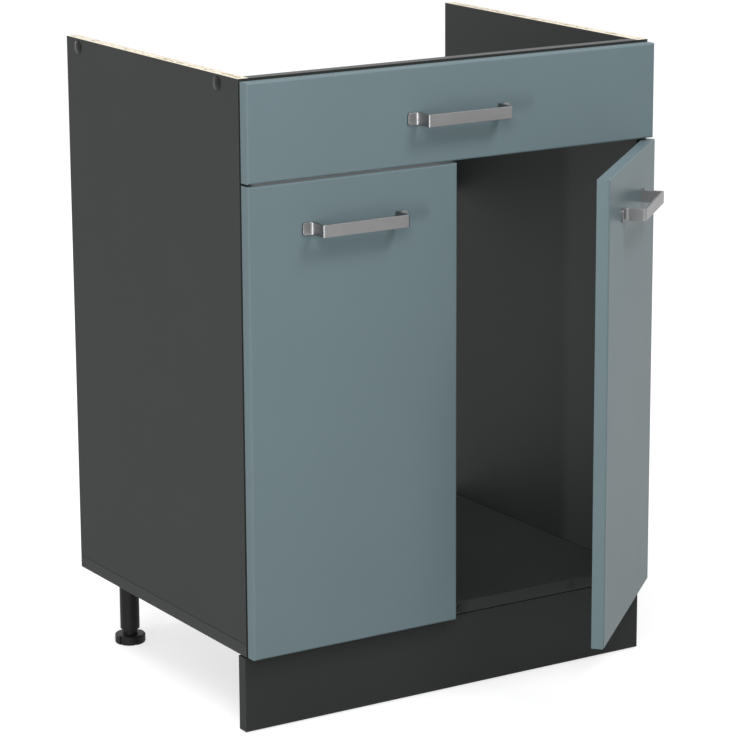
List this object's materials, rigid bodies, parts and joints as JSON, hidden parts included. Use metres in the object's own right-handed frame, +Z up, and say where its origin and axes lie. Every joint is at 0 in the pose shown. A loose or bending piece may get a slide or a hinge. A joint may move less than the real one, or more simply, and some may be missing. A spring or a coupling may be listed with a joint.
{
  "type": "kitchen base cabinet",
  "caption": "Sink base cabinet with an open top and back, a fixed false front, hinged doors with bow handles, and a clipped plinth on adjustable legs.",
  "frame": {"origin": "centre of the whole object's footprint at floor level, measured with the right door open as at rest", "axes": "+X to the right as seen from the front, +Y from the fronts to the back, +Z up"},
  "size_m": [0.6057, 0.6564, 0.816],
  "materials": {
    "graphite_board": "matt melamine on chipboard",
    "blue_grey_front": "matt laminate on chipboard",
    "plinth_board": "matt laminate on chipboard",
    "edge_band": "matt",
    "beech": "raw",
    "zinc": "zinc plated",
    "hinge_steel": "nickel plated",
    "satin_nickel": "satin",
    "cap_plastic": "matt",
    "bumper_rubber": "soft",
    "black_plastic": "matt"
  },
  "bodies": {
    "carcass": {"left_side_panel": "graphite_board", "right_side_panel": "graphite_board", "left_side_edge_bands": "edge_band", "right_side_edge_bands": "edge_band", "bottom_board": "graphite_board", "bottom_edge_bands": "edge_band", "front_rail": "graphite_board", "rear_rail": "graphite_board", "dowels": "beech", "cam_locks": "zinc", "cam_bolts": "zinc", "confirmat_screws": "zinc", "cover_caps": "cap_plastic", "door_bumpers": "bumper_rubber", "false_front": "blue_grey_front", "false_front_handle": "satin_nickel", "false_front_handle_screws": "zinc", "false_front_spacers": "black_plastic", "false_front_screws": "zinc", "plinth_board": "plinth_board", "plinth_clips": "black_plastic", "plinth_clip_screws": "zinc", "leg_sockets": "black_plastic", "leg_tubes": "black_plastic", "leg_screws": "zinc", "left_hinge_arms": "hinge_steel", "right_hinge_arms": "hinge_steel", "left_arm_pins": "zinc", "right_arm_pins": "zinc", "left_mounting_plates": "hinge_steel", "right_mounting_plates": "hinge_steel", "left_mounting_plate_screws": "zinc", "right_mounting_plate_screws": "zinc", "left_hinge_adjusting_screws": "zinc", "right_hinge_adjusting_screws": "zinc"},
    "left_levers": {"left_hinge_levers": "hinge_steel"},
    "right_levers": {"right_hinge_levers": "hinge_steel"},
    "left_door": {"left_door": "blue_grey_front", "left_door_handle": "satin_nickel", "left_door_handle_screws": "zinc", "left_hinge_cups": "hinge_steel", "left_cup_pins": "zinc", "left_cup_screws": "zinc"},
    "right_door": {"right_door": "blue_grey_front", "right_door_handle": "satin_nickel", "right_door_handle_screws": "zinc", "right_hinge_cups": "hinge_steel", "right_cup_pins": "zinc", "right_cup_screws": "zinc"},
    "left_front_foot": {"left_front_foot": "black_plastic"},
    "right_front_foot": {"right_front_foot": "black_plastic"},
    "left_rear_foot": {"left_rear_foot": "black_plastic"},
    "right_rear_foot": {"right_rear_foot": "black_plastic"}
  },
  "joints": [
    {"name": "left_lever_turn", "type": "hinge", "parent": "carcass", "child": "left_levers", "pos_m": [-0.27307, -0.1228, 0.3945], "axis": [0, 0, 1], "range_deg": [0, 33.3]},
    {"name": "left_door_turn", "type": "hinge", "parent": "left_levers", "child": "left_door", "pos_m": [-0.29057, -0.1203, 0.3945], "axis": [0, 0, -1], "range_deg": [0, 128]},
    {"name": "right_lever_turn", "type": "hinge", "parent": "carcass", "child": "right_levers", "pos_m": [0.27093, -0.1228, 0.3945], "axis": [0, 0, -1], "range_deg": [-14.96, 18.34]},
    {"name": "right_door_turn", "type": "hinge", "parent": "right_levers", "child": "right_door", "pos_m": [0.28848, -0.1249, 0.3945], "axis": [0, 0, 1], "range_deg": [-57.5, 70.5]},
    {"name": "left_front_foot_height", "type": "slide", "parent": "carcass", "child": "left_front_foot", "axis": [0, 0, -1], "range_m": [-0.0075, 0.0125]},
    {"name": "right_front_foot_height", "type": "slide", "parent": "carcass", "child": "right_front_foot", "axis": [0, 0, -1], "range_m": [-0.0075, 0.0125]},
    {"name": "left_rear_foot_height", "type": "slide", "parent": "carcass", "child": "left_rear_foot", "axis": [0, 0, -1], "range_m": [-0.0075, 0.0125]},
    {"name": "right_rear_foot_height", "type": "slide", "parent": "carcass", "child": "right_rear_foot", "axis": [0, 0, -1], "range_m": [-0.0075, 0.0125]}
  ],
  "couplings": [
    {"joint": "left_lever_turn", "follows": "left_door_turn", "ratio": 0.26},
    {"joint": "right_lever_turn", "follows": "right_door_turn", "ratio": 0.26}
  ]
}
